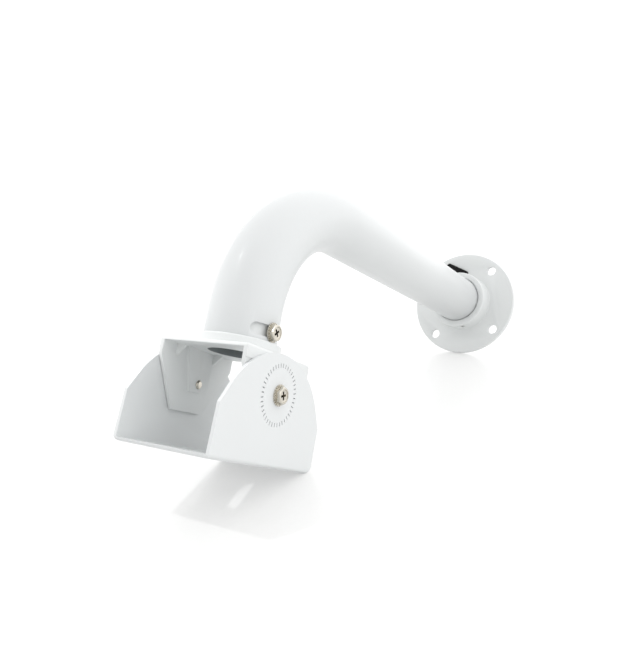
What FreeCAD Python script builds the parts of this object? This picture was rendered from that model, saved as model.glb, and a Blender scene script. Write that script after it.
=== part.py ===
import FreeCAD, Part
import math
import os

# Gooseneck wall bracket for a security camera.  Millimetres, +Z up.
# The origin is the centre of the wall face of the flange, the wall is the plane y = 0,
# the arm runs out along -Y and bends down, and X is the width.

# ---- wall flange ----
flange_d = 97.1            # outside diameter of the round plate
flange_t = 4.5             # plate thickness
bolt_circle_d = 80.0       # pitch circle of the wall bolts
bolt_hole_d = 8.5
bolt_count = 4
flange_turn = 6.7          # the flange is turned this far about the arm, in degrees
collar_wall = 5.7          # wall of the socket that takes the arm
collar_length = 16.5       # how far the socket stands out of the plate
mouth_gap = 2.0            # open ring round the arm at the mouth of the socket
mouth_depth = 4.0
seat_lip = 2.0             # lip at the wall face that the arm's end rests on
plate_edge_r = 1.0
collar_edge_r = 1.2
collar_foot_r = 1.0

# ---- cable slot in the plate and its rubber grommet ----
grommet_length = 24.0      # outside length of the rim
grommet_width = 5.0        # outside width of the rim
grommet_rim = 0.6          # how far the rim covers the plate
grommet_proud = 1.2
grommet_x = -8.9
grommet_above = 7.4         # slot's middle above the top of the collar
grommet_turn = -24.0

# ---- arm ----
tube_d = 40.5
tube_wall = 2.0
arm_length = 236.0         # wall face to the start of the bend
bend_r = 79.3              # radius of the bend at the tube's centre line
bend_angle = 86.7
arm_drop = 16.5            # straight end below the bend
slot_width = 6.4           # slot that the locking screw slides in
slot_height = 5.7          # slot's middle above the tube's lower end
slot_half_angle = 28.0     # travel each side of the tube's side line

# ---- yoke under the arm ----
pan_set = 5.0              # the yoke stands turned this far about the lower end
disc_overhang = 2.85       # how far the disc stands out past the tube
disc_t = 5.5
spigot_length = 16.0
spigot_wall = 2.2
plate_t = 2.0
yoke_width = 56.0          # over the outer faces of the ears
yoke_front = 29.9          # plate in front of the arm's axis
yoke_back = 30.7           # plate behind the arm's axis
ear_t = 2.5
yoke_shoulder_r = 1.6      # rounding where the plate turns down into an ear
ear_shoulder = 9.6         # straight part of the ear's edges, below the plate's top
ear_drop = 37.0            # plate's top to the ear's lower edge
ear_front_cut = 15.7       # how far the front edge slants in
ear_back_cut = 19.7
axis_behind = 2.0          # tilt axis behind the arm's axis
axis_below = 21.0          # tilt axis below the plate's top
gusset_t = 2.0
gusset_leg = 6.2
gusset_front = 18.5        # front gusset in front of the arm's axis
gusset_back = 13.5
rib_proud = 1.8
rib_width = 10.3
rib_top_shift = -9.1       # middle of the rib at the plate, from the tilt axis
rib_foot_shift = -1.5      # middle of the rib at its foot, from the tilt axis
rib_foot_below = 4.8       # the rib runs this far below the tilt axis

# ---- cradle that tilts on the ears ----
tilt_set = 2.0             # the cradle's front stands up by this angle
cradle_t = 1.8
cradle_front = 47.2        # front edge in front of the tilt axis
cradle_back = 47.7
cradle_drop = 37.3         # tilt axis to the underside
cheek_rise = 21.2          # tilt axis to the top of the cheek's arc
cheek_arc_r = 49.0
shoulder_in = 7.5          # the cheek's shoulder: how far its slanted edge comes in
shoulder_below = 11.4      # and where it starts below the tilt axis
back_corner_r = 5.5
cradle_bend_r = 2.6        # outside radius of the fold between base and cheek
camera_slot_width = 7.0
camera_slot_length = 40.0
camera_slot_ahead = 4.0    # the slot's middle in front of the tilt axis
tooth_count = 40           # pressed marks round the tilt axis
tooth_ring_r = 16.6
tooth_length = 2.4
tooth_width = 0.8
tooth_depth = 0.4

# ---- screws ----
screw_d = 5.0
head_flats = 8.4           # across the flats of the hexagon head
head_t = 3.4
head_bevel = 0.3           # flat top inside the flats
washer_d = 12.0
pan_washer_d = 10.4
washer_t = 1.0
tip_proud = 0.9            # tilt screw's tip past the rib
cross_width = 1.1
cross_span = 5.2
cross_depth = 1.6
set_screw_d = 5.0
set_screw_at = 6.5         # set screw's axis from the mouth of the socket
set_screw_turn = -76.4     # set screw's angle, from +X towards +Z
set_screw_sunk = 0.8
hex_key = 2.5

# ---- clearances ----
fit = 0.05                 # radial running clearance
side_gap = 0.05            # between an ear and its cheek
screw_hole_gap = 0.1

# ---- worked out from the values above ----
tube_r = tube_d / 2
bore_r = tube_r - tube_wall
socket_r = tube_r + fit
collar_r = socket_r + collar_wall
collar_front = flange_t + collar_length
spigot_r = bore_r - fit
disc_r = tube_r + disc_overhang
plate_bottom = -disc_t - plate_t
half_yoke = yoke_width / 2
ear_inner = half_yoke - ear_t
cheek_inner = half_yoke + side_gap
cheek_outer = cheek_inner + cradle_t
axis_z = -disc_t - axis_below
base_lean = 90 - bend_angle

X = FreeCAD.Vector(1, 0, 0)
Y = FreeCAD.Vector(0, 1, 0)
Z = FreeCAD.Vector(0, 0, 1)
ORIGIN = FreeCAD.Vector(0, 0, 0)


def vec(x, y, z):
    return FreeCAD.Vector(x, y, z)


def turn(axis, degrees):
    """A placement that only turns, about an axis through its origin."""
    return FreeCAD.Placement(ORIGIN, FreeCAD.Rotation(axis, degrees))


def shift(x, y, z):
    return FreeCAD.Placement(vec(x, y, z), FreeCAD.Rotation())


def placed(shape, placement):
    moved = shape.copy()
    moved.Placement = placement.multiply(moved.Placement)
    return moved


def bend_point(angle):
    """Point of the arm's centre line this far round the bend."""
    a = math.radians(angle)
    return vec(0, -arm_length - bend_r * math.sin(a), -bend_r + bend_r * math.cos(a))


def arm_end_frame():
    """Frame on the arm's lower end: Z runs back up the tube, X is across."""
    a = math.radians(bend_angle)
    end = bend_point(bend_angle) + vec(0, -math.cos(a), -math.sin(a)) * arm_drop
    return shift(end.x, end.y, end.z).multiply(turn(X, -base_lean))


ARM_END = arm_end_frame()
YOKE = ARM_END.multiply(turn(Z, pan_set))
TILT_AXIS = YOKE.multiply(shift(0, axis_behind, axis_z))
CRADLE = TILT_AXIS.multiply(turn(X, -tilt_set))


def prism_x(points, x0, x1):
    """Solid between x0 and x1 with an outline given as (y, z) points."""
    corners = [vec(x0, y, z) for y, z in points]
    face = Part.Face(Part.makePolygon(corners + corners[:1]))
    return face.extrude(vec(x1 - x0, 0, 0))


def obround(length, width, height):
    """Upright slot shape along X with round ends, standing on z = 0."""
    half = (length - width) / 2
    middle = Part.makeBox(2 * half, width, height, vec(-half, -width / 2, 0))
    ends = [Part.makeCylinder(width / 2, height, vec(x, 0, 0), Z) for x in (-half, half)]
    return middle.fuse(ends).removeSplitter()


def round_edges(shape, radius, chosen):
    """Fillet the circular edges whose (radius, y) lies near one of the chosen pairs."""
    edges = []
    for edge in shape.Edges:
        if not isinstance(edge.Curve, Part.Circle):
            continue
        centre = edge.Curve.Center
        for r, y in chosen:
            if abs(edge.Curve.Radius - r) < 0.01 and abs(centre.y - y) < 0.01:
                edges.append(edge)
    return shape.makeFillet(radius, edges)


def collar_hole(radius, r0, r1):
    """Cylinder along the set screw's axis, from radius r0 to r1 of the socket."""
    a = math.radians(set_screw_turn)
    along = vec(math.cos(a), 0, math.sin(a))
    start = vec(0, -collar_front + set_screw_at, 0) + along * r0
    return Part.makeCylinder(radius, r1 - r0, start, along)


def grommet_frame():
    """Frame on the plate's front face: X along the slot, Z out of the plate."""
    facing = shift(grommet_x, -flange_t, collar_r + grommet_above).multiply(turn(X, 90))
    return facing.multiply(turn(Z, grommet_turn))


def make_wall_flange():
    plate = Part.makeCylinder(flange_d / 2, flange_t, ORIGIN, -Y)
    collar = Part.makeCylinder(collar_r, collar_length, vec(0, -flange_t, 0), -Y)
    body = plate.fuse(collar)
    body = round_edges(body, collar_foot_r, [(collar_r, -flange_t)])
    body = round_edges(body, plate_edge_r, [(flange_d / 2, -flange_t)])
    body = round_edges(body, collar_edge_r, [(collar_r, -collar_front)])
    socket = Part.makeCylinder(socket_r, collar_front, vec(0, -seat_lip, 0), -Y)
    mouth = Part.makeCylinder(socket_r + mouth_gap, mouth_depth + 1,
                              vec(0, -collar_front + mouth_depth, 0), -Y)
    way_through = Part.makeCylinder(bore_r, 2 * seat_lip, vec(0, seat_lip, 0), -Y)
    cuts = [socket, mouth, way_through]
    for i in range(bolt_count):
        a = math.radians(45 + 360 / bolt_count * i + flange_turn)
        at = vec(bolt_circle_d / 2 * math.cos(a), 1, bolt_circle_d / 2 * math.sin(a))
        cuts.append(Part.makeCylinder(bolt_hole_d / 2, flange_t + 2, at, -Y))
    cuts.append(collar_hole(set_screw_d / 2, socket_r - 1, collar_r + 1))
    slot = obround(grommet_length - 2 * grommet_rim, grommet_width - 2 * grommet_rim,
                   flange_t + 2)
    cuts.append(placed(slot, grommet_frame().multiply(shift(0, 0, -flange_t - 1))))
    return body.cut(cuts)


def make_cable_grommet():
    """Blind rubber grommet: a domed rim on the plate and a stem in its slot."""
    rim = obround(grommet_length, grommet_width, grommet_proud)
    top = [e for e in rim.Edges if abs(e.BoundBox.ZMin - grommet_proud) < 1e-6]
    rim = rim.makeFillet(grommet_proud * 0.6, top)
    stem = obround(grommet_length - 2 * grommet_rim - 2 * fit,
                   grommet_width - 2 * grommet_rim - 2 * fit, flange_t)
    whole = rim.fuse(placed(stem, shift(0, 0, -flange_t)))
    return placed(whole, grommet_frame())


def make_arm_set_screw():
    body = collar_hole(set_screw_d / 2 - fit, tube_r + fit, collar_r - set_screw_sunk)
    socket = collar_hole(hex_key / math.sqrt(3), collar_r - set_screw_sunk - 2.2, collar_r)
    return body.cut(socket)


def arm_solid(radius, extra):
    """The arm's whole run as a solid bar, with extra length at each end."""
    start = vec(0, -seat_lip + extra, 0)
    straight = Part.makeCylinder(radius, arm_length - seat_lip + extra, start, -Y)
    disc = Part.Face(Part.Wire(Part.makeCircle(radius, vec(0, -arm_length, 0), -Y)))
    bend = disc.revolve(vec(0, -arm_length, -bend_r), X, bend_angle)
    end = Part.makeCylinder(radius, arm_drop + extra, vec(0, 0, -extra), Z)
    return straight.fuse([bend, placed(end, ARM_END)])


def lock_slot():
    """Cutter for the slot round the lower end of the arm, on its +X side."""
    low = slot_height - slot_width / 2
    wedge = Part.makeCylinder(tube_r + 1, slot_width, vec(0, 0, low), Z, 2 * slot_half_angle)
    parts = [placed(wedge, turn(Z, -slot_half_angle))]
    for angle in (-slot_half_angle, slot_half_angle):
        tip = Part.makeCylinder(slot_width / 2, tube_r, vec(bore_r / 2, 0, slot_height), X)
        parts.append(placed(tip, turn(Z, angle)))
    return placed(parts[0].fuse(parts[1:]), ARM_END)


def make_arm_tube():
    tube = arm_solid(tube_r, 0).cut(arm_solid(bore_r, 1))
    return tube.cut(lock_slot()).removeSplitter()


def ear_outline():
    bottom = -disc_t - ear_drop
    shoulder = -disc_t - ear_shoulder
    return [(-yoke_front, -disc_t), (yoke_back, -disc_t), (yoke_back, shoulder),
            (yoke_back - ear_back_cut, bottom), (-yoke_front + ear_front_cut, bottom),
            (-yoke_front, shoulder)]


def make_gusset(side, y):
    """Triangular web in the corner of an ear and the plate."""
    face_x = side * ear_inner
    corners = [vec(face_x, y, plate_bottom), vec(face_x, y, plate_bottom - gusset_leg),
               vec(face_x - side * gusset_leg, y, plate_bottom)]
    web = Part.Face(Part.makePolygon(corners + corners[:1]))
    return web.extrude(vec(0, gusset_t, 0))


def make_rib(side):
    """Raised bar down the inside of an ear, past the tilt screw."""
    foot = axis_z - rib_foot_below
    half = rib_width / 2
    top_y = axis_behind + rib_top_shift
    foot_y = axis_behind + rib_foot_shift
    outline = [(top_y - half, plate_bottom), (top_y + half, plate_bottom),
               (foot_y + half, foot), (foot_y - half, foot)]
    face_x = side * ear_inner
    return prism_x(outline, face_x, face_x - side * rib_proud)


def make_yoke():
    disc = Part.makeCylinder(disc_r, disc_t, vec(0, 0, -disc_t), Z)
    rims = [e for e in disc.Edges if isinstance(e.Curve, Part.Circle) and e.BoundBox.ZMin > -1]
    disc = disc.makeFillet(0.8, rims)
    spigot = Part.makeCylinder(spigot_r, spigot_length + disc_t, vec(0, 0, -disc_t), Z)
    plate = Part.makeBox(yoke_width, yoke_front + yoke_back, plate_t,
                         vec(-half_yoke, -yoke_front, plate_bottom))
    pieces = [spigot, plate]
    for side in (-1, 1):
        pieces.append(prism_x(ear_outline(), side * half_yoke, side * ear_inner))
        pieces.append(make_gusset(side, -gusset_front - gusset_t / 2))
        pieces.append(make_gusset(side, gusset_back - gusset_t / 2))
        pieces.append(make_rib(side))
    body = disc.fuse(pieces).removeSplitter()
    shoulders = [e for e in body.Edges
                 if e.BoundBox.XLength < 1e-6 and e.BoundBox.ZLength < 1e-6
                 and abs(abs(e.BoundBox.XMin) - half_yoke) < 1e-6
                 and abs(e.BoundBox.ZMin + disc_t) < 1e-6]
    body = body.makeFillet(yoke_shoulder_r, shoulders)
    cable_way = Part.makeCylinder(spigot_r - spigot_wall, 60, vec(0, 0, plate_bottom - 1), Z)
    tilt_holes = Part.makeCylinder(screw_d / 2 + fit, yoke_width + 2,
                                   vec(-half_yoke - 1, axis_behind, axis_z), X)
    lock_hole = Part.makeCylinder(screw_d / 2 + fit, tube_r, vec(bore_r / 2, 0, slot_height), X)
    return placed(body.cut([cable_way, tilt_holes, lock_hole]), YOKE)


def cheek_face(x):
    """Outline of a cheek at one x: square front, arched top, rounded back corner."""
    shoulder_z = -shoulder_below
    arc_z = cheek_rise - cheek_arc_r
    front_in = -cradle_front + shoulder_in
    back_in = cradle_back - shoulder_in
    front_top = vec(x, front_in, arc_z + math.sqrt(cheek_arc_r ** 2 - front_in ** 2))
    back_top = vec(x, back_in, arc_z + math.sqrt(cheek_arc_r ** 2 - back_in ** 2))
    corner = back_corner_r * (1 - math.sqrt(0.5))
    front_foot = vec(x, -cradle_front, -cradle_drop)
    front_edge = vec(x, -cradle_front, shoulder_z)
    back_edge = vec(x, cradle_back, shoulder_z)
    back_low = vec(x, cradle_back, -cradle_drop + back_corner_r)
    back_mid = vec(x, cradle_back - corner, -cradle_drop + corner)
    back_foot = vec(x, cradle_back - back_corner_r, -cradle_drop)
    edges = [
        Part.LineSegment(front_foot, front_edge),
        Part.LineSegment(front_edge, front_top),
        Part.Arc(front_top, vec(x, 0, cheek_rise), back_top),
        Part.LineSegment(back_top, back_edge),
        Part.LineSegment(back_edge, back_low),
        Part.Arc(back_low, back_mid, back_foot),
        Part.LineSegment(back_foot, front_foot),
    ]
    return Part.Face(Part.Wire([e.toShape() for e in edges]))


def tooth_marks(side):
    """Shallow radial marks round the tilt axis on the outside of a cheek."""
    marks = []
    for i in range(tooth_count):
        mark = Part.makeBox(2 * tooth_depth, tooth_length, tooth_width,
                            vec(side * cheek_outer - tooth_depth, tooth_ring_r - tooth_length,
                                -tooth_width / 2))
        marks.append(placed(mark, turn(X, 360 / tooth_count * i)))
    return marks


def make_cradle():
    """One folded sheet: the camera's base and two cheeks outside the ears."""
    whole = cheek_face(-cheek_outer).extrude(vec(2 * cheek_outer, 0, 0))
    folds = [e for e in whole.Edges
             if abs(e.BoundBox.ZMax + cradle_drop) < 1e-6 and e.BoundBox.YLength > 1]
    whole = whole.makeFillet(cradle_bend_r, folds)
    top = cradle_drop + cheek_rise + 1
    length = cradle_front + cradle_back + 2
    hollow = Part.makeBox(2 * cheek_inner, length, top,
                          vec(-cheek_inner, -cradle_front - 1, -cradle_drop + cradle_t))
    inner = [e for e in hollow.Edges
             if e.BoundBox.ZMax < -cradle_drop + cradle_t + 1e-6 and e.BoundBox.YLength > 1]
    hollow = hollow.makeFillet(cradle_bend_r - cradle_t, inner)
    slot = placed(obround(camera_slot_length, camera_slot_width, 3 * cradle_t), turn(Z, 90))
    slot = placed(slot, shift(0, -camera_slot_ahead, -cradle_drop - cradle_t))
    axle = Part.makeCylinder(screw_d / 2 + fit, 4 * cheek_outer, vec(-2 * cheek_outer, 0, 0), X)
    cuts = [hollow, slot, axle] + tooth_marks(-1) + tooth_marks(1)
    return placed(whole.cut(cuts), CRADLE)


def hex_head_screw(length):
    """Cross-recess hex screw along +X: the head sits on x = 0, the shank runs to -length."""
    corner = head_flats / math.sqrt(3)
    angles = [math.radians(60 * i) for i in range(6)]
    points = [vec(0, corner * math.cos(a), corner * math.sin(a)) for a in angles]
    prism = Part.Face(Part.makePolygon(points + points[:1])).extrude(vec(head_t, 0, 0))
    top_r = head_flats / 2 - head_bevel
    crown = Part.makeCone(top_r + head_t * math.sqrt(3), top_r, head_t, ORIGIN, X)
    head = prism.common(crown)
    shank = Part.makeCylinder(screw_d / 2, length, vec(-length, 0, 0), X)
    arms = [Part.makeBox(2 * cross_depth, wide, high,
                         vec(head_t - cross_depth, -wide / 2, -high / 2))
            for wide, high in ((cross_span, cross_width), (cross_width, cross_span))]
    return head.fuse(shank).cut(arms)


def flat_washer(diameter):
    """Washer on the plane x = 0, standing out along +X."""
    disc = Part.makeCylinder(diameter / 2, washer_t, ORIGIN, X)
    hole = Part.makeCylinder(screw_d / 2 + screw_hole_gap, 3 * washer_t, vec(-washer_t, 0, 0), X)
    return disc.cut(hole)


def on_side(shape, side, frame, distance):
    """Stand a piece made along +X on one side of a frame, this far from its middle."""
    facing = frame.multiply(turn(Z, 0 if side > 0 else 180))
    return placed(shape, facing.multiply(shift(distance, 0, 0)))


def make_tilt_screw(side):
    seat = cheek_outer + washer_t
    tip = ear_inner - rib_proud - tip_proud
    return on_side(hex_head_screw(seat - tip), side, TILT_AXIS, seat)


def make_tilt_washer(side):
    return on_side(flat_washer(washer_d), side, TILT_AXIS, cheek_outer)


def make_pan_screw():
    seat = tube_r + fit + washer_t
    tip = spigot_r - spigot_wall - 1
    return placed(on_side(hex_head_screw(seat - tip), 1, shift(0, 0, slot_height), seat), YOKE)


def make_pan_washer():
    washer = on_side(flat_washer(pan_washer_d), 1, shift(0, 0, slot_height), tube_r + fit)
    return placed(washer, YOKE)


def main():
    shapes = {
        "wall_flange": make_wall_flange(),
        "cable_grommet": make_cable_grommet(),
        "arm_set_screw": make_arm_set_screw(),
        "arm_tube": make_arm_tube(),
        "yoke": make_yoke(),
        "pan_lock_screw": make_pan_screw(),
        "pan_lock_washer": make_pan_washer(),
        "cradle": make_cradle(),
        "tilt_screw_right": make_tilt_screw(1),
        "tilt_screw_left": make_tilt_screw(-1),
        "tilt_washer_right": make_tilt_washer(1),
        "tilt_washer_left": make_tilt_washer(-1),
    }
    os.makedirs("parts", exist_ok=True)
    for name, shape in shapes.items():
        shape.exportStep(f"parts/{name}.step")
        print(name, len(shape.Solids), round(shape.Volume, 1), shape.isValid())


main()
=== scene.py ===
import math
from contextlib import contextmanager

import bmesh
import bpy
from mathutils import Matrix, Vector


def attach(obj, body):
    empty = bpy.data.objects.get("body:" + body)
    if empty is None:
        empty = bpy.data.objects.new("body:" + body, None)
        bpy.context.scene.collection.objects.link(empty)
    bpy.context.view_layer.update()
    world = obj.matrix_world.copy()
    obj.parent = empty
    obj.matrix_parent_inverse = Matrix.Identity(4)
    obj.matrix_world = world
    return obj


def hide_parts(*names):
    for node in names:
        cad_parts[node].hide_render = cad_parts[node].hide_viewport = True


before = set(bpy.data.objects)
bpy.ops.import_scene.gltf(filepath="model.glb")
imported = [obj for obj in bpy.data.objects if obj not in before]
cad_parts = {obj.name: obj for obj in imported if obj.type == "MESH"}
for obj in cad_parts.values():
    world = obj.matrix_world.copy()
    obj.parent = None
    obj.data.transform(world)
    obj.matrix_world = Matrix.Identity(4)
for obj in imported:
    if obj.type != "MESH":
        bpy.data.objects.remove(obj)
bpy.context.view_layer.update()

# Gooseneck wall bracket for a camera.  Metres, +Z up.  The wall is the plane y = 0,
# the arm runs out along -Y and bends down, and X is the width.

# ---- wall flange ----
FLANGE_R = 0.04855
FLANGE_T = 0.0045
BOLT_CIRCLE_R = 0.040
BOLT_HOLE_R = 0.00425
BOLT_COUNT = 4
FLANGE_TURN = 6.7              # degrees about the arm
SOCKET_R = 0.0203
COLLAR_R = 0.0260
COLLAR_FRONT = 0.0210
MOUTH_R = 0.0212
MOUTH_DEPTH = 0.0012
SEAT_LIP = 0.002

# ---- cable slot in the plate and its rubber grommet ----
GROMMET_LENGTH = 0.024
GROMMET_WIDTH = 0.005
GROMMET_RIM = 0.0006
GROMMET_PROUD = 0.0012
GROMMET_AT = (-0.0089, 0.0330)
GROMMET_TURN = -24.0

# ---- arm ----
TUBE_R = 0.02025
BORE_R = 0.01825
ARM_LENGTH = 0.236
BEND_R = 0.0793
BEND_ANGLE = 86.7
ARM_DROP = 0.0165
SLOT_WIDTH = 0.0064
SLOT_HEIGHT = 0.0057
SLOT_HALF_ANGLE = 28.0

# ---- yoke under the arm ----
PAN_SET = 5.0
DISC_R = 0.0231
DISC_T = 0.0055
SPIGOT_R = 0.0182
SPIGOT_LENGTH = 0.016
CABLE_WAY_R = 0.0160
PLATE_T = 0.002
HALF_YOKE = 0.028
YOKE_FRONT = 0.0299
YOKE_BACK = 0.0307
EAR_T = 0.0025
YOKE_SHOULDER_R = 0.0016
EAR_SHOULDER = 0.0096
EAR_DROP = 0.037
EAR_FRONT_CUT = 0.0157
EAR_BACK_CUT = 0.0197
EAR_RELIEF = 0.0004            # the ears stand this far off the cheeks below the plate
EAR_RELIEF_BELOW = 0.0070
AXIS_BEHIND = 0.002
AXIS_BELOW = 0.021
GUSSET_T = 0.002
GUSSET_LEG = 0.0062
GUSSET_AT = (-0.0185, 0.0135)
RIB_PROUD = 0.0018
RIB_WIDTH = 0.0103
RIB_TOP_SHIFT = -0.0091
RIB_FOOT_SHIFT = -0.0015
RIB_FOOT_BELOW = 0.0048

# ---- cradle that tilts on the ears ----
TILT_SET = 2.0
CRADLE_T = 0.0018
CHEEK_INNER = 0.02805
CHEEK_OUTER = 0.02985
CRADLE_FRONT = 0.0472
CRADLE_BACK = 0.0477
CRADLE_DROP = 0.0373
CHEEK_RISE = 0.0212
CHEEK_ARC_R = 0.049
SHOULDER_IN = 0.0075
SHOULDER_BELOW = 0.0114
BACK_CORNER_R = 0.0055
FOLD_R = 0.0026
CAMERA_SLOT_WIDTH = 0.007
CAMERA_SLOT_LENGTH = 0.040
CAMERA_SLOT_AHEAD = 0.004
TOOTH_COUNT = 40
TOOTH_START = 4.25             # degrees from the cradle's rear towards its top
TOOTH_RING_R = 0.0166
TOOTH_LENGTH = 0.0024
TOOTH_WIDTH = 0.0008
TOOTH_DEPTH = 0.0009

# ---- screws and washers ----
SHANK_R = 0.0025
SCREW_HOLE_R = 0.00255
SHANK_INTO_HEAD = 0.0004
TILT_SCREW_TURN = 17           # degrees that the heads were left at
PAN_SCREW_TURN = 40
HEAD_FLATS = 0.0084
HEAD_T = 0.0025
DISH_R = 0.0033
DISH_DEPTH = 0.0006
CROSS_SPAN = 0.0050
CROSS_WIDTH = 0.0014
CROSS_DEPTH = 0.0027
TILT_WASHER_R = 0.0057
PAN_WASHER_R = 0.0054
WASHER_T = 0.0008
WASHER_TEETH = 22
WASHER_GAP = 0.00003           # paint under a washer
NOTCH_HALF = 0.00035           # half the gap between two teeth of a washer
TIP_PROUD = 0.0009
SET_SCREW_R = 0.00245
SET_SCREW_HOLE_R = 0.0025
SET_SCREW_OFF_TUBE = 0.0001
SET_SCREW_AT = 0.0065
SET_SCREW_TURN = -76.4
SET_SCREW_SUNK = 0.0008
HEX_KEY_R = 0.00144
KEY_DEPTH = 0.0022

PAINT_EDGE = 0.00035           # how round the paint leaves a cut edge
CLEAR = 0.001                  # how far a cutter runs past what it cuts
SINK = 0.0003                  # how far webs and ribs sink into the faces they stand on
JOIN = 0.0005                  # how far the disc and the spigot run into the plate
NEAR = 1e-5                    # how close counts as the same place
ROUND_NEAR = 1e-4              # the same, for the distance from an axis


# ---------------------------------------------------------------- where things stand

def turn(axis, degrees):
    return Matrix.Rotation(math.radians(degrees), 4, axis)


def arm_end_frame():
    """The arm's lower end: Z runs back up the tube, X is across."""
    a = math.radians(BEND_ANGLE)
    y = -ARM_LENGTH - BEND_R * math.sin(a) - ARM_DROP * math.cos(a)
    z = -BEND_R + BEND_R * math.cos(a) - ARM_DROP * math.sin(a)
    return Matrix.Translation((0, y, z)) @ turn("X", BEND_ANGLE - 90)


ARM_END = arm_end_frame()
YOKE = ARM_END @ turn("Z", PAN_SET)
TILT_AXIS = YOKE @ Matrix.Translation((0, AXIS_BEHIND, -DISC_T - AXIS_BELOW))
CRADLE = TILT_AXIS @ turn("X", -TILT_SET)


# ---------------------------------------------------------------- bench tools

def alone(piece):
    """Leave only this piece selected, and active."""
    bpy.ops.object.select_all(action="DESELECT")
    piece.select_set(True)
    bpy.context.view_layer.objects.active = piece


@contextmanager
def editing(piece):
    alone(piece)
    bpy.ops.object.mode_set(mode="EDIT")
    yield
    bpy.ops.object.mode_set(mode="OBJECT")


def pick(kind, wanted):
    """In edit mode, select only the faces, edges or corners that pass a test."""
    mesh = bmesh.from_edit_mesh(bpy.context.object.data)
    bpy.ops.mesh.select_mode(type=kind)
    bpy.ops.mesh.select_all(action="DESELECT")
    items = {"VERT": mesh.verts, "EDGE": mesh.edges, "FACE": mesh.faces}[kind]
    items.ensure_lookup_table()
    for item in items:
        if wanted(item):
            item.select_set(True)
    bmesh.update_edit_mesh(bpy.context.object.data)


def middle(item):
    """Middle of an edge or a face."""
    points = [v.co for v in item.verts]
    return sum(points, Vector()) / len(points)


def facing(direction, at=None):
    """Test for flat faces that look one way, and lie at one height along it."""
    way = Vector(direction)
    return lambda face: (face.normal.dot(way) > 0.999
                         and (at is None or abs(middle(face).dot(way) - at) < NEAR))


def apply_modifier(piece, kind, **settings):
    alone(piece)
    modifier = piece.modifiers.new(kind.title(), kind)
    for name, value in settings.items():
        setattr(modifier, name, value)
    bpy.ops.object.modifier_apply(modifier=modifier.name)


def work(piece, others, operation):
    for other in others:
        apply_modifier(piece, "BOOLEAN", object=other, operation=operation, solver="EXACT")
        bpy.data.objects.remove(other)
    return piece


def cut(piece, *cutters):
    return work(piece, cutters, "DIFFERENCE")


def weld(piece, *others):
    return work(piece, others, "UNION")


def close_up(piece):
    """Drop the slivers that rounding leaves, and shut any pinhole."""
    with editing(piece):
        bpy.ops.mesh.select_all(action="SELECT")
        bpy.ops.mesh.remove_doubles(threshold=2e-6)
        bpy.ops.mesh.dissolve_degenerate(threshold=1e-6)
        bpy.ops.mesh.select_all(action="SELECT")
        bpy.ops.mesh.fill_holes(sides=12)
        bpy.ops.mesh.delete_loose()
        bpy.ops.mesh.select_all(action="SELECT")
        bpy.ops.mesh.normals_make_consistent(inside=False)
    return piece


def soften(piece, width=PAINT_EDGE, segments=2, angle=35):
    """Round every edge sharper than an angle."""
    apply_modifier(piece, "BEVEL", width=width, segments=segments, limit_method="ANGLE",
                   angle_limit=math.radians(angle), miter_outer="MITER_ARC",
                   use_clamp_overlap=True)
    return close_up(piece)


def fold_in(piece, placement):
    """Work a placement into the mesh, so the object itself stays at the origin."""
    piece.matrix_world = placement @ piece.matrix_world
    alone(piece)
    bpy.ops.object.transform_apply(location=True, rotation=True, scale=True)
    return piece


def bar(radius, start, end, sides=96):
    """Round bar between two points."""
    run = Vector(end) - Vector(start)
    spot = (Vector(start) + Vector(end)) / 2
    bpy.ops.object.select_all(action="DESELECT")
    bpy.ops.mesh.primitive_cylinder_add(vertices=sides, radius=radius, depth=run.length)
    return fold_in(bpy.context.object,
                   Matrix.Translation(spot) @ run.to_track_quat("Z", "Y").to_matrix().to_4x4())


def block(low, high):
    """Square block between two corners."""
    low, high = Vector(low), Vector(high)
    bpy.ops.object.select_all(action="DESELECT")
    bpy.ops.mesh.primitive_cube_add(size=1)
    size = high - low
    return fold_in(bpy.context.object,
                   Matrix.Translation((low + high) / 2) @ Matrix.Diagonal((*size, 1)))


def slot_block(length, width, low, high, sides=32):
    """Block with round ends along X, between two heights."""
    half = (length - width) / 2
    piece = block((-half, -width / 2, low), (half, width / 2, high))
    ends = [bar(width / 2, (x, 0, low), (x, 0, high), 2 * sides) for x in (-half, half)]
    return weld(piece, *ends)


def tidy_faces(piece):
    """Merge faces that lie in one plane, so that rims round cleanly."""
    with editing(piece):
        bpy.ops.mesh.select_all(action="SELECT")
        bpy.ops.mesh.remove_doubles(threshold=2e-6)
        bpy.ops.mesh.dissolve_limited(angle_limit=math.radians(0.4))
    return piece


def trim(piece, *planes):
    """Cut a closed block by planes, each given as a point and the side that goes."""
    with editing(piece):
        for point, away in planes:
            bpy.ops.mesh.select_all(action="SELECT")
            bpy.ops.mesh.bisect(plane_co=point, plane_no=away, use_fill=True, clear_outer=True,
                                threshold=1e-6)
        bpy.ops.mesh.select_all(action="SELECT")
        bpy.ops.mesh.normals_make_consistent(inside=False)
    return piece


def finish(piece, name, coat, body, nodes, angle=30):
    """Name a piece, shade it, give it its finish, and stand it in for its CAD nodes."""
    alone(piece)
    bpy.ops.object.shade_smooth_by_angle(angle=math.radians(angle))
    piece.name = piece.data.name = name
    piece.data.materials.clear()
    piece.data.materials.append(coat)
    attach(piece, body)
    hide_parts(*nodes)
    return piece


def round_off(piece, kind_of_edge, radius, segments):
    """Bevel the edges that pass a test."""
    with editing(piece):
        pick("EDGE", kind_of_edge)
        bpy.ops.mesh.bevel(offset=radius, segments=segments, profile=0.5, affect="EDGES")
    return piece


def lies_at(**place):
    """Test for edges that lie wholly at the given x, y or z; abs_x means either side."""
    def test(edge):
        for v in edge.verts:
            here = {"x": v.co.x, "y": v.co.y, "z": v.co.z, "abs_x": abs(v.co.x)}
            if any(abs(here[key] - value) > NEAR for key, value in place.items()):
                return False
        return True
    return test


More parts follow.
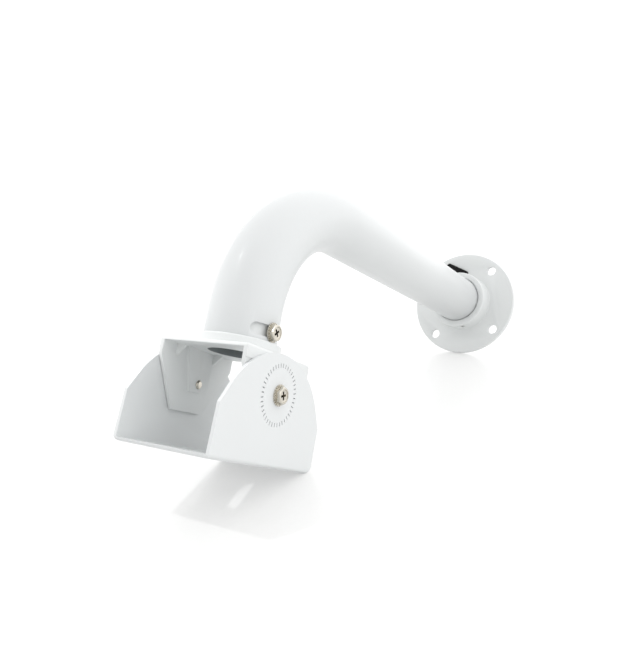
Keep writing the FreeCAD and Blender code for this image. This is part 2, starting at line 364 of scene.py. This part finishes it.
def ring_at(radius, y):
    """Test for edges of a ring round the arm's axis, at one distance from the wall."""
    return lambda edge: all(abs(v.co.y - y) < NEAR
                            and abs(math.hypot(v.co.x, v.co.z) - radius) < ROUND_NEAR
                            for v in edge.verts)


def copies_joined(piece, placements):
    """Copies of a small shape at many places, as one mesh; the first one is used up."""
    copies = []
    for placement in placements:
        one = piece.copy()
        one.data = piece.data.copy()
        bpy.context.collection.objects.link(one)
        copies.append(fold_in(one, placement))
    bpy.data.objects.remove(piece)
    alone(copies[0])
    for one in copies:
        one.select_set(True)
    bpy.ops.object.join()
    return bpy.context.object


# ---------------------------------------------------------------- finishes

class Link:
    """A value in a material: arithmetic on it adds Math nodes."""

    def __init__(self, paint, socket):
        self.paint, self.socket = paint, socket

    def sum_node(self, operation, a, b):
        return self.paint.node("ShaderNodeMath", {"operation": operation}, {0: a, 1: b})

    def __add__(self, other):
        return self.sum_node("ADD", self, other)

    def __radd__(self, other):
        return self.sum_node("ADD", other, self)

    def __mul__(self, other):
        return self.sum_node("MULTIPLY", self, other)

    def __rmul__(self, other):
        return self.sum_node("MULTIPLY", other, self)


class Paint:
    """A material that is built node by node."""

    def __init__(self, name):
        self.material = bpy.data.materials.new(name)
        self.material.use_nodes = True
        self.tree = self.material.node_tree
        self.tree.nodes.clear()

    def node(self, kind, settings=None, inputs=None, output=0):
        """Add a node: its settings first, then the values or links of its sockets."""
        node = self.tree.nodes.new(kind)
        for name, value in (settings or {}).items():
            setattr(node, name, value)
        for key, value in (inputs or {}).items():
            if isinstance(value, Link):
                self.tree.links.new(value.socket, node.inputs[key])
            else:
                node.inputs[key].default_value = value
        return Link(self, node.outputs[output]) if len(node.outputs) else None

    def place(self, scale=(1, 1, 1), rotation=(0, 0, 0), at=(0, 0, 0)):
        """Where a point lies on the piece."""
        spot = self.node("ShaderNodeTexCoord", output="Object")
        return self.node("ShaderNodeMapping", {"vector_type": "POINT"},
                         {"Vector": spot, "Scale": scale, "Rotation": rotation, "Location": at})

    def noise(self, place, scale, detail=2.0, roughness=0.5):
        return self.node("ShaderNodeTexNoise", {},
                         {"Vector": place, "Scale": scale, "Detail": detail,
                          "Roughness": roughness})

    def between(self, amount, low, high):
        """Colour between two colours."""
        return self.node("ShaderNodeMix", {"data_type": "RGBA"},
                         {0: amount, 6: (*low, 1), 7: (*high, 1)}, output=2)

    def narrow(self, value, low, high, to_low=0.0, to_high=1.0):
        """Stretch a narrow range of a value, and hold it at its ends."""
        return self.node("ShaderNodeMapRange", {"clamp": True},
                         {"Value": value, "From Min": low, "From Max": high,
                          "To Min": to_low, "To Max": to_high})

    def bump(self, height, distance, strength=1.0, onto=None):
        inputs = {"Height": height, "Distance": distance, "Strength": strength}
        if onto is not None:
            inputs["Normal"] = onto
        return self.node("ShaderNodeBump", {}, inputs)

    def surface(self, **inputs):
        """Finish with one shader; its sockets are named with _ for a space."""
        named = {key.replace("_", " "): value for key, value in inputs.items()}
        shader = self.node("ShaderNodeBsdfPrincipled", {}, named)
        self.node("ShaderNodeOutputMaterial", {}, {"Surface": shader})
        return self.material


def powder_coat(name, peel, gloss, tint, bore=None):
    """White powder paint: a soft orange peel, fine grain, and faint unevenness.

    A bore, given as its frame and radius, has its colour pulled dark inside it as painted shade.
    """
    paint = Paint(name)
    place = paint.place()
    cloud = paint.noise(place, 34.0, 3.0)
    waves = paint.noise(place, 620.0, 2.0, 0.45)
    grain = paint.noise(place, 3100.0, 1.0)
    specks = paint.narrow(paint.noise(place, 1500.0, 0.0), 0.80, 0.86)
    even = paint.between(cloud, tuple(0.975 * c for c in tint), tint)
    colour = paint.node("ShaderNodeMix", {"data_type": "RGBA"},
                        {0: specks * 0.25, 6: even, 7: (0.55, 0.56, 0.55, 1)}, output=2)
    if bore:
        frame_of_bore, radius = bore
        back = frame_of_bore.inverted()
        spot = paint.place(rotation=back.to_euler(), at=back.to_translation())
        across = paint.node("ShaderNodeVectorMath", {"operation": "MULTIPLY"},
                            {0: spot, 1: (1, 1, 0)})
        off_axis = paint.node("ShaderNodeVectorMath", {"operation": "LENGTH"},
                              {0: across}, output=1)
        # painted shade: inside the bore's radius the colour goes to a dark grey that stands in for
        # the shade in there
        painted_bore_shade = paint.narrow(off_axis, radius + 0.0003, radius + 0.0001)
        colour = paint.node("ShaderNodeMix", {"data_type": "RGBA"},
                            {0: painted_bore_shade, 6: colour, 7: (0.20, 0.22, 0.225, 1)}, output=2)
    rough = gloss + 0.10 * cloud + 0.06 * grain
    skin = paint.bump(waves, peel)
    skin = paint.bump(grain, 0.12 * peel, onto=skin)
    return paint.surface(Base_Color=colour, Roughness=rough, Normal=skin,
                         Specular_IOR_Level=0.45, Coat_Weight=0.12, Coat_Roughness=0.16)


def nickel_plate(name, tint, polish):
    """Warm nickel plating with turning marks, pitting and a duller bloom."""
    paint = Paint(name)
    place = paint.place()
    bloom = paint.noise(place, 260.0, 3.0)
    marks = paint.noise(paint.place(scale=(1.0, 6.0, 1.0)), 1400.0, 2.0)
    pits = paint.narrow(paint.noise(place, 2600.0, 0.0), 0.72, 0.80)
    clean = paint.between(bloom, tuple(0.80 * c for c in tint), tint)
    colour = paint.node("ShaderNodeMix", {"data_type": "RGBA"},
                        {0: pits * 0.6, 6: clean, 7: (0.16, 0.14, 0.11, 1)}, output=2)
    skin = paint.bump(marks, 0.000012)
    skin = paint.bump(pits, -0.00001, onto=skin)
    return paint.surface(Base_Color=colour, Metallic=1.0, Normal=skin,
                         Roughness=polish + 0.12 * bloom + 0.15 * pits)


def black_rubber(name):
    """Moulded rubber: a matt skin with a light dusting."""
    paint = Paint(name)
    place = paint.place()
    dust = paint.noise(place, 300.0, 4.0)
    grain = paint.noise(place, 2400.0, 2.0)
    colour = paint.between(dust, (0.004, 0.004, 0.004), (0.011, 0.011, 0.011))
    return paint.surface(Base_Color=colour, Roughness=0.55 + 0.2 * dust, Specular_IOR_Level=0.2,
                         Normal=paint.bump(grain, 0.00002))


# ---------------------------------------------------------------- the pieces

def make_wall_flange(coat):
    """Round plate with a socket for the arm, four bolt holes and a cable slot."""
    plate = bar(FLANGE_R, (0, 0, 0), (0, -FLANGE_T, 0), 160)
    steps = (
        (FLANGE_T, FLANGE_R - COLLAR_R, -COLLAR_FRONT + FLANGE_T),
        (COLLAR_FRONT, COLLAR_R - MOUTH_R, MOUTH_DEPTH),
        (COLLAR_FRONT - MOUTH_DEPTH, MOUTH_R - SOCKET_R, COLLAR_FRONT - MOUTH_DEPTH - SEAT_LIP),
    )
    with editing(plate):
        for depth, inward, along in steps:
            pick("FACE", lambda f, d=depth: facing((0, -1, 0), d)(f) and len(f.verts) > 4)
            bpy.ops.mesh.inset(thickness=inward, use_even_offset=True)
            bpy.ops.mesh.extrude_region_move(TRANSFORM_OT_translate={"value": (0, along, 0)})
    round_off(plate, ring_at(FLANGE_R, -FLANGE_T), 0.0010, 4)
    round_off(plate, ring_at(COLLAR_R, -COLLAR_FRONT), 0.0012, 4)
    round_off(plate, ring_at(COLLAR_R, -FLANGE_T), 0.0010, 4)
    cutters = [bar(BORE_R, (0, CLEAR, 0), (0, -2 * SEAT_LIP, 0))]
    for i in range(BOLT_COUNT):
        a = math.radians(45 + 360 / BOLT_COUNT * i + FLANGE_TURN)
        x, z = BOLT_CIRCLE_R * math.cos(a), BOLT_CIRCLE_R * math.sin(a)
        cutters.append(bar(BOLT_HOLE_R, (x, CLEAR, z), (x, -FLANGE_T - CLEAR, z), 48))
    along = Vector((math.cos(math.radians(SET_SCREW_TURN)), 0,
                    math.sin(math.radians(SET_SCREW_TURN))))
    start = Vector((0, -COLLAR_FRONT + SET_SCREW_AT, 0))
    cutters.append(bar(SET_SCREW_HOLE_R, start + along * (SOCKET_R - CLEAR),
                       start + along * (COLLAR_R + CLEAR), 40))
    slot = slot_block(GROMMET_LENGTH - 2 * GROMMET_RIM, GROMMET_WIDTH - 2 * GROMMET_RIM,
                      -FLANGE_T - CLEAR, CLEAR)
    cutters.append(fold_in(slot, grommet_frame()))
    cut(plate, *cutters)
    soften(tidy_faces(plate))
    return finish(plate, "flange_casting", coat, "flange", ["wall_flange"])


def grommet_frame():
    x, z = GROMMET_AT
    return (Matrix.Translation((x, -FLANGE_T, z)) @ turn("X", 90) @ turn("Z", GROMMET_TURN))


def make_grommet(coat):
    """Blind rubber plug: a rounded rim, a sunk middle and a stem in the slot."""
    rim = slot_block(GROMMET_LENGTH, GROMMET_WIDTH, 0, GROMMET_PROUD)
    tidy_faces(rim)
    round_off(rim, lies_at(z=GROMMET_PROUD), 0.0007, 4)
    with editing(rim):
        pick("FACE", facing((0, 0, 1), GROMMET_PROUD))
        bpy.ops.mesh.inset(thickness=0.0006, use_even_offset=True)
        bpy.ops.mesh.inset(thickness=0.0003, depth=-0.0005, use_even_offset=True)
    stem = slot_block(GROMMET_LENGTH - 2 * GROMMET_RIM - 1e-4,
                      GROMMET_WIDTH - 2 * GROMMET_RIM - 1e-4, -FLANGE_T, 0.0002)
    weld(rim, stem)
    fold_in(rim, grommet_frame())
    return finish(rim, "cable_plug", coat, "flange", ["cable_grommet"])


def make_set_screw(coat):
    """Headless screw in the collar, with a hexagon socket."""
    out = COLLAR_R - SET_SCREW_SUNK
    screw = bar(SET_SCREW_R, (0, 0, TUBE_R + SET_SCREW_OFF_TUBE), (0, 0, out), 40)
    round_off(screw, lies_at(z=out), 0.0004, 3)
    cut(screw, bar(HEX_KEY_R, (0, 0, out - KEY_DEPTH), (0, 0, out + CLEAR), 6))
    fold_in(screw, Matrix.Translation((0, -COLLAR_FRONT + SET_SCREW_AT, 0))
            @ turn("Y", 90 - SET_SCREW_TURN))
    return finish(screw, "collar_screw", coat, "flange", ["arm_set_screw"])


def make_arm(coat):
    """Bent tube with a slot round its lower end."""
    bpy.ops.object.select_all(action="DESELECT")
    bpy.ops.mesh.primitive_circle_add(vertices=112, radius=TUBE_R, fill_type="NOTHING")
    tube = fold_in(bpy.context.object, Matrix.Translation((0, -SEAT_LIP, 0)) @ turn("X", 90))
    down = ARM_END.to_3x3() @ Vector((0, 0, -ARM_DROP))
    with editing(tube):
        bpy.ops.mesh.select_all(action="SELECT")
        bpy.ops.mesh.extrude_region_move(
            TRANSFORM_OT_translate={"value": (0, SEAT_LIP - ARM_LENGTH, 0)})
        bpy.ops.mesh.spin(steps=72, angle=math.radians(BEND_ANGLE), axis=(-1, 0, 0),
                          center=(0, -ARM_LENGTH, -BEND_R))
        bpy.ops.mesh.extrude_region_move(TRANSFORM_OT_translate={"value": down})
        bpy.ops.mesh.select_all(action="SELECT")
        bpy.ops.mesh.remove_doubles(threshold=1e-6)
        bpy.ops.mesh.normals_make_consistent(inside=False)
    apply_modifier(tube, "SOLIDIFY", thickness=TUBE_R - BORE_R, offset=-1)
    end_angle = math.radians(SLOT_HALF_ANGLE) + math.asin(SLOT_WIDTH / 2 / TUBE_R)
    slot = slot_block(2 * TUBE_R * math.sin(end_angle), SLOT_WIDTH, BORE_R / 2, TUBE_R + CLEAR)
    outward = ARM_END @ Matrix.Translation((0, 0, SLOT_HEIGHT)) @ turn("Z", 90) @ turn("X", 90)
    cut(tube, fold_in(slot, outward))
    soften(tube)
    return finish(tube, "bent_tube", coat, "arm", ["arm_tube"])


def make_gusset(side, y):
    """Triangular web in the corner of an ear and the plate."""
    face, top = side * (HALF_YOKE - EAR_T), -DISC_T - PLATE_T
    inner = face - side * GUSSET_LEG
    web = block((min(face + side * SINK, inner), y - GUSSET_T / 2, top - GUSSET_LEG),
                (max(face + side * SINK, inner), y + GUSSET_T / 2, top + SINK))
    return trim(web, ((inner, 0, top), (-side, 0, -1)))


def make_rib(side):
    """Raised bar down the inside of an ear, past the tilt screw."""
    face, top = side * (HALF_YOKE - EAR_T), -DISC_T - PLATE_T
    foot = -DISC_T - AXIS_BELOW - RIB_FOOT_BELOW
    top_y, foot_y = AXIS_BEHIND + RIB_TOP_SHIFT, AXIS_BEHIND + RIB_FOOT_SHIFT
    run, rise = foot_y - top_y, top - foot
    half, proud = RIB_WIDTH / 2, face - side * RIB_PROUD
    rib = block((min(face + side * SINK, proud), top_y - half - CLEAR, foot),
                (max(face + side * SINK, proud), foot_y + half + CLEAR, top + SINK))
    return trim(rib, ((0, top_y - half, top), (0, -rise, -run)),
                ((0, top_y + half, top), (0, rise, run)))


def make_yoke(coat):
    """Disc, spigot, top plate and two ears in one piece."""
    bottom, top = -DISC_T - EAR_DROP, -DISC_T
    height = EAR_DROP - EAR_SHOULDER
    shell = block((-HALF_YOKE, -YOKE_FRONT, bottom), (HALF_YOKE, YOKE_BACK, top))
    trim(shell, ((0, -YOKE_FRONT, -DISC_T - EAR_SHOULDER), (0, -height, -EAR_FRONT_CUT)),
         ((0, YOKE_BACK, -DISC_T - EAR_SHOULDER), (0, height, -EAR_BACK_CUT)))
    round_off(shell, lies_at(abs_x=HALF_YOKE, z=top), YOKE_SHOULDER_R, 5)
    inner = HALF_YOKE - EAR_T
    cut(shell, block((-inner, -YOKE_FRONT - CLEAR, bottom - CLEAR),
                     (inner, YOKE_BACK + CLEAR, top - PLATE_T)))
    disc = bar(DISC_R, (0, 0, -DISC_T - JOIN), (0, 0, 0), 128)
    round_off(disc, lies_at(z=0), 0.0008, 4)
    spigot = bar(SPIGOT_R, (0, 0, -DISC_T - JOIN), (0, 0, SPIGOT_LENGTH), 128)
    webs = [make_gusset(side, y) for side in (-1, 1) for y in GUSSET_AT]
    weld(shell, disc, spigot, *webs, make_rib(-1), make_rib(1))
    axis_z = -DISC_T - AXIS_BELOW
    cut(shell, bar(CABLE_WAY_R, (0, 0, -DISC_T - PLATE_T - CLEAR), (0, 0, 0.05), 112),
        bar(SCREW_HOLE_R, (-0.03, AXIS_BEHIND, axis_z), (0.03, AXIS_BEHIND, axis_z), 40),
        bar(SCREW_HOLE_R, (BORE_R / 2, 0, SLOT_HEIGHT), (0.03, 0, SLOT_HEIGHT), 40))
    cut(shell, *[block((side * HALF_YOKE - (CLEAR if side < 0 else EAR_RELIEF),
                        -YOKE_FRONT - CLEAR, bottom - CLEAR),
                       (side * HALF_YOKE + (CLEAR if side > 0 else EAR_RELIEF),
                        YOKE_BACK + CLEAR, -DISC_T - EAR_RELIEF_BELOW)) for side in (-1, 1)])
    soften(tidy_faces(shell))
    fold_in(shell, YOKE)
    return finish(shell, "pan_yoke", coat, "yoke", ["yoke"])


def tooth_marks(side):
    """Shallow sloped grooves round the tilt axis, as one cutter."""
    face = side * CHEEK_OUTER
    deep, proud = face - side * TOOTH_DEPTH, face + side * TOOTH_DEPTH
    mark = block((min(deep, proud), TOOTH_RING_R - TOOTH_LENGTH, -TOOTH_WIDTH / 2),
                 (max(deep, proud), TOOTH_RING_R, TOOTH_WIDTH / 2))
    with editing(mark):
        pick("FACE", facing((-side, 0, 0)))
        bpy.ops.transform.resize(value=(1, 0.92, 0.7),
                                 center_override=(deep, TOOTH_RING_R - TOOTH_LENGTH / 2, 0))
    spacing = 360 / TOOTH_COUNT
    return copies_joined(mark, [turn("X", TOOTH_START + spacing * i) for i in range(TOOTH_COUNT)])


def make_cradle(coat):
    """One folded sheet: the camera's base and two cheeks outside the ears."""
    wide = CHEEK_OUTER
    arc_z = CHEEK_RISE - CHEEK_ARC_R
    front_y, back_y = SHOULDER_IN - CRADLE_FRONT, CRADLE_BACK - SHOULDER_IN
    front_z = arc_z + math.sqrt(CHEEK_ARC_R ** 2 - front_y ** 2)
    back_z = arc_z + math.sqrt(CHEEK_ARC_R ** 2 - back_y ** 2)
    along_y, along_z = back_y - front_y, back_z - front_z
    sheet = block((-wide, -CRADLE_FRONT, -CRADLE_DROP), (wide, CRADLE_BACK, CHEEK_RISE))
    trim(sheet, ((0, front_y, front_z), (0, -front_z - SHOULDER_BELOW, SHOULDER_IN)),
         ((0, back_y, back_z), (0, back_z + SHOULDER_BELOW, SHOULDER_IN)),
         ((0, front_y, front_z), (0, -along_z, along_y)))
    arch = trim(bar(CHEEK_ARC_R, (-wide, 0, arc_z), (wide, 0, arc_z), 240),
                ((0, front_y, front_z), (0, along_z, -along_y)))
    tidy_faces(weld(sheet, arch))
    round_off(sheet, lies_at(abs_x=wide, z=-CRADLE_DROP), FOLD_R, 6)
    floor = -CRADLE_DROP + CRADLE_T
    hollow = block((-CHEEK_INNER, -0.06, floor), (CHEEK_INNER, 0.06, 0.06))
    round_off(hollow, lies_at(abs_x=CHEEK_INNER, z=floor), FOLD_R - CRADLE_T, 5)
    corner_y, corner_z = CRADLE_BACK - BACK_CORNER_R, -CRADLE_DROP + BACK_CORNER_R
    corner = block((-0.04, corner_y, -CRADLE_DROP - CLEAR), (0.04, CRADLE_BACK + CLEAR, corner_z))
    cut(corner, bar(BACK_CORNER_R, (-0.05, corner_y, corner_z), (0.05, corner_y, corner_z), 64))
    slot = fold_in(slot_block(CAMERA_SLOT_LENGTH, CAMERA_SLOT_WIDTH, -0.045, -0.03),
                   Matrix.Translation((0, -CAMERA_SLOT_AHEAD, 0)) @ turn("Z", 90))
    cut(sheet, hollow, corner, slot, bar(SCREW_HOLE_R, (-0.04, 0, 0), (0.04, 0, 0), 40))
    soften(tidy_faces(sheet))
    cut(sheet, tooth_marks(-1), tooth_marks(1))
    fold_in(sheet, CRADLE)
    return finish(sheet, "camera_cradle", coat, "cradle", ["cradle"])


def make_screw(length):
    """Hexagon screw along +X with a dished, cross-cut head that sits on x = 0."""
    corner = HEAD_FLATS / math.sqrt(3)
    head = bar(corner, (0, 0, 0), (HEAD_T, 0, 0), 6)
    crown = bar(0.985 * corner, (-CLEAR, 0, 0), (HEAD_T, 0, 0), 72)
    round_off(crown, lies_at(x=HEAD_T), 0.0010, 3)
    work(head, [crown], "INTERSECT")
    top = HEAD_T - DISH_DEPTH
    dish = bar(DISH_R, (top, 0, 0), (HEAD_T + CLEAR, 0, 0), 72)
    round_off(dish, lies_at(x=top), 0.0004, 3)
    cut(head, dish)
    soften(head, 0.00012, 2, 30)
    shank = bar(SHANK_R, (-length, 0, 0), (SHANK_INTO_HEAD, 0, 0), 48)
    round_off(shank, lies_at(x=-length), 0.0011, 4)
    weld(head, shank)
    recess = []
    for wide, high in ((CROSS_SPAN, CROSS_WIDTH), (CROSS_WIDTH, CROSS_SPAN)):
        arm = block((top - CROSS_DEPTH, -wide / 2, -high / 2),
                    (HEAD_T + CLEAR, wide / 2, high / 2))
        with editing(arm):
            pick("FACE", facing((-1, 0, 0)))
            bpy.ops.transform.resize(value=(1, 0.70, 0.70), center_override=(top, 0, 0))
        recess.append(arm)
    return cut(head, *recess)


def make_washer(radius):
    """Toothed lock washer on the plane x = 0, standing out along +X."""
    washer = bar(radius, (0, 0, 0), (WASHER_T, 0, 0), 132)
    notch = block((WASHER_T * 0.45, radius * 0.80, -NOTCH_HALF),
                  (WASHER_T + CLEAR, radius + CLEAR, NOTCH_HALF))
    spacing = 360 / WASHER_TEETH
    cut(washer, bar(SHANK_R + 1e-4, (-CLEAR, 0, 0), (WASHER_T + CLEAR, 0, 0), 48),
        copies_joined(notch, [turn("X", spacing * i) for i in range(WASHER_TEETH)]))
    return soften(washer, 0.00008, 1, 40)


def on_side(side, frame_of_piece, distance):
    """Placement of a piece made along +X on one side of a frame."""
    return (frame_of_piece @ turn("Z", 0 if side > 0 else 180)
            @ Matrix.Translation((distance, 0, 0)))


def make_fasteners(screw_coat, washer_coat):
    """Two tilt screws, one pan screw and their washers."""
    seat = CHEEK_OUTER + WASHER_GAP + WASHER_T
    tip = HALF_YOKE - EAR_T - RIB_PROUD - TIP_PROUD
    for side, word in ((1, "right"), (-1, "left")):
        screw = fold_in(make_screw(seat - tip),
                        on_side(side, TILT_AXIS, seat) @ turn("X", TILT_SCREW_TURN))
        finish(screw, f"tilt_bolt_{word}", screw_coat, "yoke",
               [f"tilt_screw_{word}"])
        washer = fold_in(make_washer(TILT_WASHER_R),
                         on_side(side, TILT_AXIS, CHEEK_OUTER + WASHER_GAP))
        finish(washer, f"tilt_lock_washer_{word}", washer_coat, "yoke",
               [f"tilt_washer_{word}"])
    pan = YOKE @ Matrix.Translation((0, 0, SLOT_HEIGHT))
    seat = TUBE_R + WASHER_GAP + WASHER_T
    screw = make_screw(seat - (CABLE_WAY_R - CLEAR))
    fold_in(screw, on_side(1, pan, seat) @ turn("X", PAN_SCREW_TURN))
    finish(screw, "pan_bolt", screw_coat, "yoke", ["pan_lock_screw"])
    washer = fold_in(make_washer(PAN_WASHER_R), on_side(1, pan, TUBE_R + WASHER_GAP))
    finish(washer, "pan_lock_washer_ring", washer_coat, "yoke",
           ["pan_lock_washer"])


# ---------------------------------------------------------------- studio

CAMERA_AT = (0.22520, -0.56974, -0.12418)
CAMERA_RIGHT = (0.82076, 0.55505, 0.13516)
CAMERA_UP = (-0.04198, -0.17736, 0.98325)
LENS = 33.40                   # millimetres on a 36 mm sensor

TABLE_UP = Vector((0.037, -0.372, 0.928)).normalized()
TABLE_THROUGH = (0.0, -0.2775, -0.1597)
TABLE_SIZE = 6.0

# The tent is white all round but for its opening, which is on the front.
TENT_LIGHT = 1.60
OPENING_LIGHT = 0.76
OPENING_WAY = (0.12, -0.95, 0.10)
OPENING_FROM, OPENING_TO = 0.55, 0.92      # cosine off the opening's middle
LAMP_AT = (-0.57, 0.48, 1.30)              # from under the head, as table_point takes it
LAMP_WATTS, LAMP_RADIUS, LAMP_CONE = 34.0, 0.05, 5.5


def table_point(across, out, above):
    """Place measured from under the head: across to the right, out to the front, and up."""
    right = Vector((1, 0, 0))
    right = (right - TABLE_UP * right.dot(TABLE_UP)).normalized()
    front = right.cross(TABLE_UP)
    return Vector(TABLE_THROUGH) + right * across + front * out + TABLE_UP * above


def set_camera():
    camera = bpy.data.objects.new("camera", bpy.data.cameras.new("camera"))
    bpy.context.scene.collection.objects.link(camera)
    right, up = Vector(CAMERA_RIGHT).normalized(), Vector(CAMERA_UP)
    up = (up - right * up.dot(right)).normalized()
    turned = Matrix((right, up, right.cross(up))).transposed().to_4x4()
    camera.matrix_world = Matrix.Translation(CAMERA_AT) @ turned
    camera.data.lens = LENS
    camera.data.sensor_width = 36
    camera.data.clip_start = 0.01
    camera.data.dof.use_dof = False
    bpy.context.scene.camera = camera


def narrow_lamp():
    """Lamp that only lights the cradle, and shines through the slot in its base."""
    lamp = bpy.data.lights.new("narrow_lamp", "SPOT")
    lamp.energy, lamp.shadow_soft_size = LAMP_WATTS, LAMP_RADIUS
    lamp.spot_size, lamp.spot_blend = math.radians(LAMP_CONE), 1.0
    stand = bpy.data.objects.new("narrow_lamp", lamp)
    bpy.context.scene.collection.objects.link(stand)
    at = table_point(*LAMP_AT)
    aim = CRADLE @ Vector((0, -CAMERA_SLOT_AHEAD, -CRADLE_DROP)) - at
    stand.matrix_world = Matrix.Translation(at) @ aim.to_track_quat("-Z", "Y").to_matrix().to_4x4()


def lay_table():
    """White paper under the bracket; it shows only from its upper side."""
    bpy.ops.object.select_all(action="DESELECT")
    bpy.ops.mesh.primitive_plane_add(size=TABLE_SIZE)
    paper = bpy.context.object
    paper.name = "table_paper"
    lie = TABLE_UP.to_track_quat("Z", "Y").to_matrix().to_4x4()
    fold_in(paper, Matrix.Translation(TABLE_THROUGH) @ lie)
    paint = Paint("table_paper")
    fibres = paint.noise(paint.place(), 420.0, 4.0)
    sheet = paint.node("ShaderNodeBsdfPrincipled", {},
                       {"Base Color": paint.between(fibres, (0.50, 0.50, 0.495),
                                                    (0.53, 0.53, 0.525)),
                        "Roughness": 0.28, "Specular IOR Level": 0.35,
                        "Emission Color": (1, 1, 1, 1), "Emission Strength": 0.33})
    behind = paint.node("ShaderNodeNewGeometry", output="Backfacing")
    clear = paint.node("ShaderNodeBsdfTransparent")
    both = paint.node("ShaderNodeMixShader", {}, {0: behind, 1: sheet, 2: clear})
    paint.node("ShaderNodeOutputMaterial", {}, {"Surface": both})
    paper.data.materials.append(paint.material)


def light_studio():
    world = bpy.data.worlds.new("white_tent")
    bpy.context.scene.world = world
    world.use_nodes = True
    tree = world.node_tree
    sky = tree.nodes["Background"]
    sky.inputs["Color"].default_value = (1.0, 1.0, 1.0, 1)
    way = tree.nodes.new("ShaderNodeTexCoord")
    toward = tree.nodes.new("ShaderNodeVectorMath")
    toward.operation = "DOT_PRODUCT"
    toward.inputs[1].default_value = Vector(OPENING_WAY).normalized()
    fade = tree.nodes.new("ShaderNodeMapRange")
    fade.interpolation_type = "SMOOTHSTEP"
    for name, value in (("From Min", OPENING_FROM), ("From Max", OPENING_TO),
                        ("To Min", TENT_LIGHT), ("To Max", OPENING_LIGHT)):
        fade.inputs[name].default_value = value
    tree.links.new(way.outputs["Generated"], toward.inputs[0])
    tree.links.new(toward.outputs["Value"], fade.inputs["Value"])
    tree.links.new(fade.outputs["Result"], sky.inputs["Strength"])
    narrow_lamp()
    bpy.context.scene.view_settings.view_transform = "Standard"


set_camera()
lay_table()
light_studio()

tube_coat = powder_coat("white_coat_tube", 0.00003, 0.30, (0.655, 0.670, 0.673))
cast_coat = powder_coat("white_coat_cast", 0.00005, 0.36, (0.705, 0.722, 0.720),
                        bore=(YOKE, CABLE_WAY_R))
sheet_coat = powder_coat("white_coat_sheet", 0.00004, 0.38, (0.690, 0.706, 0.709))
screw_nickel = nickel_plate("nickel_screw", (0.66, 0.625, 0.55), 0.10)
washer_nickel = nickel_plate("nickel_washer", (0.64, 0.61, 0.54), 0.20)
rubber = black_rubber("black_rubber")

make_wall_flange(cast_coat)
make_grommet(rubber)
make_set_screw(screw_nickel)
make_arm(tube_coat)
make_yoke(cast_coat)
make_cradle(sheet_coat)
make_fasteners(screw_nickel, washer_nickel)
